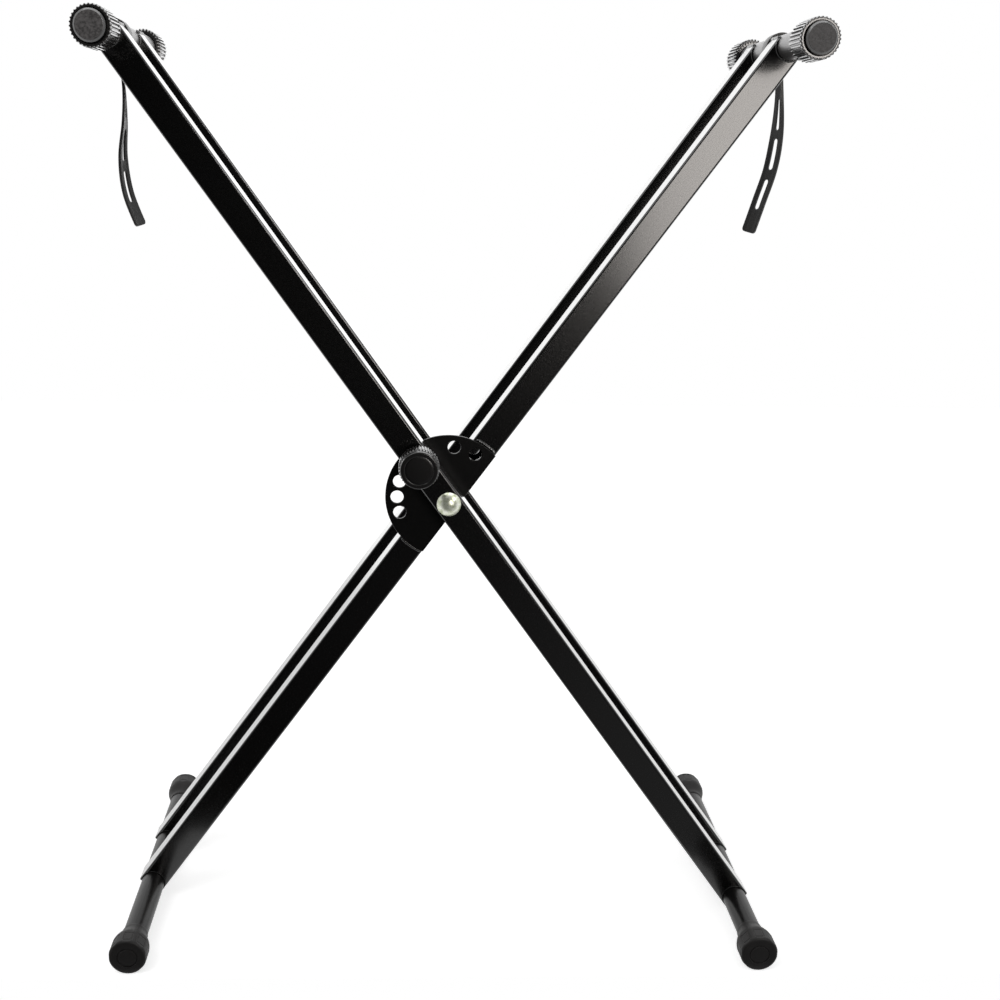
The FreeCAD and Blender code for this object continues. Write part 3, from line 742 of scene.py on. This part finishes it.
def strapTail(s, letter):
    line = strapLine(s["lines"][letter])
    length = line[-1][2]

    def lengthAt(z):
        return min(line, key=lambda entry: abs(entry[0].z - z))[2]

    def placeAt(distance):
        for before, here in zip(line, line[1:]):
            if here[2] >= distance - 1e-9:
                t = (distance - before[2]) / max(here[2] - before[2], 1e-9)
                return before[0].lerp(here[0], t), before[1].lerp(here[1], t).normalized()
        return line[-1][0], line[-1][1]

    middles = [lengthAt(-s["firstSlot"] - slot * s["slotPitch"]) for slot in range(s["slots"])]
    halfSlot, halfGap = s["slotLength"] / 2, s["slotWidth"] / 2
    tipRound, tipStart = s["tipRound"], length - s["tipRound"]
    rows = {round(length * step / s["evenRows"], 3) for step in range(s["evenRows"] + 1)}
    rows = {r for r in rows
            if r < tipStart and all(abs(abs(r - m) - halfSlot) > s["clearOfSlot"] for m in middles)}
    for m in middles:
        for sign in (-1, 1):
            for step in range(6):
                bulge = halfGap * math.sin(step / 5 * math.pi / 2)
                rows.add(round(m + sign * (halfSlot - halfGap + bulge), 3))
            rows.add(round(m + sign * (halfSlot + s["pastSlot"]), 3))
    rows |= {round(tipStart + tipRound * math.sin(step / 6 * math.pi / 2), 3) for step in range(7)}
    rows = sorted(rows)

    def slotHalf(distance):
        # half the slot's opening, or None away from a slot
        for m in middles:
            off = abs(distance - m)
            if off <= halfSlot + 1e-3:
                past = max(off - (halfSlot - halfGap), 0)
                return math.sqrt(max(halfGap ** 2 - past ** 2, 0))
        return None

    work = bmesh.new()
    half = s["width"] / 2
    fractions = (-1, -0.9, -0.76, -0.62, None, None, 0.62, 0.76, 0.9, 1)
    grid = []
    for distance in rows:
        past = max(distance - tipStart, 0)
        wide = half - tipRound + math.sqrt(max(tipRound ** 2 - past ** 2, 0))
        opening = slotHalf(distance)
        middle = halfGap if opening is None else opening
        row = []
        for index, fraction in enumerate(fractions):
            w = (-middle if index == 4 else middle) if fraction is None else fraction * wide
            row.append(work.verts.new((distance, w, 0)))
        grid.append(row)
    for (distance, row), (nextDistance, following) in zip(zip(rows, grid), zip(rows[1:], grid[1:])):
        centre = (distance + nextDistance) / 2
        for column in range(len(fractions) - 1):
            if column == 4 and slotHalf(centre) is not None:
                continue
            work.faces.new((row[column], row[column + 1], following[column + 1], following[column]))
    bmesh.ops.remove_doubles(work, verts=work.verts, dist=1e-4)
    flat = list(work.faces)
    made = bmesh.ops.extrude_face_region(work, geom=flat)
    lifted = {v for v in made["geom"] if isinstance(v, bmesh.types.BMVert)}
    for v in work.verts:
        channel = s["channel"] * (1 - smoothStep(abs(v.co.y), 0.6 * half, 0.78 * half))
        v.co.z = (s["thick"] / 2 - channel) * (1 if v in lifted else -1)
    bmesh.ops.recalc_face_normals(work, faces=work.faces)
    rims = [e for e in work.edges if len(e.link_faces) == 2 and e.calc_face_angle(0) > math.radians(60)
            and abs(e.verts[0].co.z - e.verts[1].co.z) < 0.8]
    bmesh.ops.bevel(work, geom=rims, offset=s["edge"], segments=3, profile=0.5, affect="EDGES",
                    clamp_overlap=True)
    for v in work.verts:
        place, along = placeAt(v.co.x)
        atLoop, atEnd = s["twist"][letter]
        turned = smoothStep(line[0][0].z - place.z, *s["turn"][letter])
        twist = math.radians(atLoop + (atEnd - atLoop) * turned)
        across = Quaternion(along, twist) @ Vector((0, 1, 0))
        v.co = place + across * v.co.y + along.cross(across) * v.co.z
    return takeSkin(work)


def strapLoop(s):
    half = s["width"] / 2 + s["lip"]
    inner, outer, edge = s["inner"], s["inner"] + s["thick"], s["edge"]
    corners = [(inner, 0, 0), (inner, -half, edge), (outer, -half, edge), (outer, half, edge),
               (inner, half, edge), (inner, 0, 0)]
    return turnedSkin(roundedProfile(corners, 3), evenAngles(96))


for letter, body in (("a", "strap_right"), ("b", "strap_left")):
    node = "strap_" + letter
    tubeLow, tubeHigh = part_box("head_tube_" + letter)
    low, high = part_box(node)
    middle = ((tubeLow.x + tubeHigh.x) / 2, (low.y + high.y) / 2, (tubeLow.z + tubeHigh.z) / 2)
    place = Matrix.Translation(middle) @ millimetres
    addPiece("tieStrap_" + letter, *strapTail(strap, letter), place, "strap_rubber", body, [node])
    addPiece("tieLoop_" + letter, *strapLoop(strap), place, "strap_rubber", body, [node])
print("straps made")


weld = {"radius": 1.7, "ripple": 0.16, "jitter": 0.05, "pitch": 2.4, "step": 0.5, "sides": 10, "taper": 3.0,
        "tubeRadius": 11.1, "armHalf": 12.5, "inset": 0.6, "lift": 0.3, "ringLift": 0.5, "proud": 0.05,
        "spread": 84}
# overrun: how far the arm's side walls run past the cross tube's middle; shares are of the full radius
weldEnds = {"Head": {"sign": 1, "reach": 485.0, "overrun": 0.0, "sideShare": 1.0, "ringShare": 0.75},
            "Foot": {"sign": -1, "reach": 489.5, "overrun": 5.0, "sideShare": 0.45, "ringShare": 0.3}}


def beadSkin(path, radius, s, seed):
    # a rippled round bead along the path, tapered to a point at both ends
    draw = random.Random(seed)
    points = []
    lengths = [0.0]
    for before, here in zip(path, path[1:]):
        lengths.append(lengths[-1] + (here - before).length)
    total = lengths[-1]
    stations = max(int(total / s["step"]), 8)
    phase = draw.random()
    rings = []
    for station in range(stations + 1):
        distance = total * station / stations
        index = max(i for i, length in enumerate(lengths) if length <= distance + 1e-9)
        index = min(index, len(path) - 2)
        t = (distance - lengths[index]) / max(lengths[index + 1] - lengths[index], 1e-9)
        centre = path[index].lerp(path[index + 1], t)
        before = path[max(index - 1, 0)]
        after = path[min(index + 2, len(path) - 1)]
        along = (after - before).normalized()
        across = along.orthogonal().normalized() if not rings else (
            lastAcross - along * lastAcross.dot(along)).normalized()
        lastAcross = across
        up = along.cross(across)
        scallop = (distance / s["pitch"] + phase) % 1
        wave = 1 + s["ripple"] * (0.5 - scallop) + s["jitter"] * (draw.random() - 0.5)
        fade = min(1, math.sqrt(max(min(station, stations - station) / s["taper"], 0)))
        if fade == 0:
            rings.append([len(points)])
            points.append(tuple(centre))
            continue
        ring = []
        for side in range(s["sides"]):
            angle = 2 * math.pi * side / s["sides"]
            offset = (across * math.cos(angle) + up * math.sin(angle)) * radius * wave * fade
            ring.append(len(points))
            points.append(tuple(centre + offset))
        rings.append(ring)
    return points, ringFaces(rings, s["sides"])


def joinSkins(skins):
    points, faces = [], []
    for morePoints, moreFaces in skins:
        base = len(points)
        points += morePoints
        faces += [tuple(base + index for index in face) for face in moreFaces]
    return points, faces


def armWeld(s, end, yFront, yRear, seed):
    # beads in the arm's own frame where its coped end meets the cross tube
    skins = []
    past, sign, inset = end["overrun"], end["sign"], s["inset"]
    x = (s["armHalf"] + math.sqrt(s["tubeRadius"] ** 2 - past ** 2)) / 2
    z = sign * (end["reach"] + past + s["lift"])
    for side in (-1, 1):
        line = [Vector((side * x, yFront + inset + (yRear - yFront - 2 * inset) * t / 8, z))
                for t in range(9)]
        skins.append(beadSkin(line, s["radius"] * end["sideShare"], s, seed + side + 2))
    spread = math.radians(s["spread"]) + math.asin(past / s["tubeRadius"])
    ringRadius = s["tubeRadius"] + s["ringLift"]
    for y, tag in ((yFront - s["proud"], 5), (yRear + s["proud"], 7)):
        arc = []
        for t in range(25):
            angle = -spread + 2 * spread * t / 24
            height = sign * (end["reach"] - ringRadius * math.cos(angle))
            arc.append(Vector((ringRadius * math.sin(angle), y, height)))
        skins.append(beadSkin(arc, s["radius"] * end["ringShare"], s, seed + tag))
    return joinSkins(skins)


seed = 11
for side, turn in (("a", armTurnA), ("b", armTurnB)):
    for row in ("front", "rear"):
        low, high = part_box("arm_" + side + "_" + row + "_tube")
        for endName, end in weldEnds.items():
            skin = armWeld(weld, end, low.y / mm, high.y / mm, seed)
            bead = addPiece("weld" + endName + "_" + side + "_" + row, *skin, atPivot @ turn @ millimetres,
                            "black_paint", "pair_" + side)
            if endName == "Foot":
                bead.material_slots[0].material = tubeFinishes["lock_disc"]
            seed += 20


discBead = {"radius": 1.5, "sunk": 0.5, "outside": 1.1, "halfAngle": 10.5, "seed": 300}


def discWeld(s, bead, disc):
    # beads on arm A's front face along the disc's rim, on either side of the pivot
    skins = []
    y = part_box("lock_disc")[1].y / mm - bead["sunk"]
    radius = disc["radius"] + bead["outside"]
    for centre, tag in ((90, 1), (270, 2)):
        arc = []
        for t in range(17):
            angle = math.radians(centre + (t / 16 - 0.5) * 2 * bead["halfAngle"])
            arc.append(Vector((radius * math.cos(angle), y, radius * math.sin(angle))))
        skins.append(beadSkin(arc, bead["radius"], s, bead["seed"] + tag))
    return joinSkins(skins)


addPiece("weldDisc", *discWeld(weld, discBead, lockDisc), discPlace, "black_paint", "pair_a")
print("welds made")


# the floor ends just in front of the feet, so the arms' fronts mirror the dim side of the room
studio = {"ambient": 0.5, "frontGlow": 0.01, "lowGlow": 0.22, "floorColour": 0.82, "floorLift": 0.68,
          "floorX": (-2.2, 2.2), "floorY": (-0.168, 2.6), "floorSunk": 0.0002, "behind": (-0.7, -0.25),
          "right": (-0.12, 0.2), "low": (-0.22, -0.46)}


def makeFloor():
    mesh = bpy.data.meshes.new("studioFloor")
    (left, right), (near, far) = studio["floorX"], studio["floorY"]
    mesh.from_pydata([(left, near, 0), (right, near, 0), (right, far, 0), (left, far, 0)], [], [(0, 1, 2, 3)])
    floor = bpy.data.objects.new("studioFloor", mesh)
    scene.collection.objects.link(floor)
    floor.location.z = -studio["floorSunk"]
    material = bpy.data.materials.new("studioFloor")
    material.use_nodes = True
    tree = material.node_tree
    tree.nodes.clear()
    diffuse = addNode(tree, "ShaderNodeBsdfDiffuse")
    grain = addNode(tree, "ShaderNodeTexNoise", in_Scale=40.0, in_Detail=3.0)
    shade = studio["floorColour"]
    tree.links.new(mixColour(tree, grain.outputs["Fac"], (shade, shade, shade, 1),
                             (shade * 0.99, shade * 0.99, shade * 0.985, 1)), diffuse.inputs["Color"])
    path = addNode(tree, "ShaderNodeLightPath").outputs
    seen = mathNode(tree, "MAXIMUM", path["Is Camera Ray"],
                    mathNode(tree, "MAXIMUM", path["Is Glossy Ray"], path["Is Transmission Ray"]))
    glow = addNode(tree, "ShaderNodeEmission", in_Color=(1, 1, 1, 1),
                   in_Strength=multiplied(tree, seen, studio["floorLift"]))
    both = addNode(tree, "ShaderNodeAddShader")
    tree.links.new(diffuse.outputs[0], both.inputs[0])
    tree.links.new(glow.outputs[0], both.inputs[1])
    output = addNode(tree, "ShaderNodeOutputMaterial")
    tree.links.new(both.outputs[0], output.inputs["Surface"])
    mesh.materials.append(material)


def makeWorld():
    world = bpy.data.worlds.new("studioWorld")
    world.use_nodes = True
    tree = world.node_tree
    tree.nodes.clear()
    path = addNode(tree, "ShaderNodeLightPath").outputs
    direction = addNode(tree, "ShaderNodeTexCoord").outputs["Generated"]
    turn = addNode(tree, "ShaderNodeSeparateXYZ", in_Vector=direction).outputs
    # reflections see the white backdrop and, in front, a dim room with a faint low glow at the right
    behind = rangeNode(tree, turn["Y"], *studio["behind"], studio["frontGlow"], 1.0, smooth=True)
    right = rangeNode(tree, turn["X"], *studio["right"], 0.0, studio["lowGlow"], smooth=True)
    low = rangeNode(tree, turn["Z"], *studio["low"], 0.0, 1.0, smooth=True)
    around = mathNode(tree, "MAXIMUM", behind, multiplied(tree, right, low))
    glossy = multiplied(tree, path["Is Glossy Ray"], around)
    seen = mathNode(tree, "MAXIMUM", path["Is Camera Ray"], path["Is Transmission Ray"])
    plain = mathNode(tree, "SUBTRACT", 1.0, mathNode(tree, "MAXIMUM", seen, path["Is Glossy Ray"]))
    strength = mathNode(tree, "ADD", mathNode(tree, "MAXIMUM", seen, glossy),
                        multiplied(tree, plain, studio["ambient"]))
    glow = addNode(tree, "ShaderNodeBackground", in_Color=(1, 1, 1, 1), in_Strength=strength)
    output = addNode(tree, "ShaderNodeOutputWorld")
    tree.links.new(glow.outputs[0], output.inputs["Surface"])
    scene.world = world


def addLamp(name, place, target, size, radiance, diffuse=True, tint=(1, 1, 1)):
    # a soft rectangular lamp given by its brightness, which the camera doesn't see
    data = bpy.data.lights.new(name, "AREA")
    data.shape = "RECTANGLE"
    data.color = tint
    data.size, data.size_y = size
    data.energy = radiance * math.pi * size[0] * size[1]
    lamp = bpy.data.objects.new(name, data)
    lamp.location = place
    lamp.rotation_euler = (Vector(target) - Vector(place)).to_track_quat("-Z", "Y").to_euler()
    lamp.visible_camera = False
    lamp.visible_diffuse = diffuse
    scene.collection.objects.link(lamp)


def addCamera():
    view = {"place": (-0.04122, -1.17571, 0.71344), "yaw": 1.8794, "pitch": 15.1265, "roll": 0.8203,
            "lens": 46.2605, "shift": (0.05653, 0.00447)}
    yaw, pitch, roll = (math.radians(view[key]) for key in ("yaw", "pitch", "roll"))
    forward = Vector((math.sin(yaw) * math.cos(pitch), math.cos(yaw) * math.cos(pitch), -math.sin(pitch)))
    level = Vector((math.cos(yaw), -math.sin(yaw), 0))
    upright = level.cross(forward)
    right = level * math.cos(roll) + upright * math.sin(roll)
    up = upright * math.cos(roll) - level * math.sin(roll)
    data = bpy.data.cameras.new("photoCamera")
    data.sensor_width, data.lens = 36, view["lens"]
    data.shift_x, data.shift_y = view["shift"]
    data.clip_start, data.clip_end = 0.01, 50
    camera = bpy.data.objects.new("photoCamera", data)
    turn = Matrix((right, up, -forward)).transposed()
    camera.matrix_world = Matrix.Translation(view["place"]) @ turn.to_4x4()
    scene.collection.objects.link(camera)
    scene.camera = camera


makeFloor()
makeWorld()
addLamp("keyLamp", (-1.4, -1.3, 2.6), target=(0, 0, 0.45), size=(1.4, 1.4), radiance=2.6)
addLamp("overheadCard", (0, 0.2, 3.0), target=(0, 0, 0.4), size=(3.0, 2.4), radiance=1.5, diffuse=False)
addLamp("backCard", (0, 2.9, 1.2), target=(0, 0, 0.6), size=(6.0, 3.4), radiance=0.75, diffuse=False)
addLamp("glareCard", (0.95, -2.5, 0.9), target=(0.2, 0, 0.6), size=(0.75, 1.1), radiance=9.0,
        diffuse=False, tint=(1, 0.95, 0.905))
addLamp("edgeLamp", (1.9, -1.7, 2.1), target=(0.1, 0, 0.5), size=(0.8, 0.8), radiance=14.0, diffuse=False)
addCamera()
scene.view_settings.view_transform = "Standard"
print("studio made")
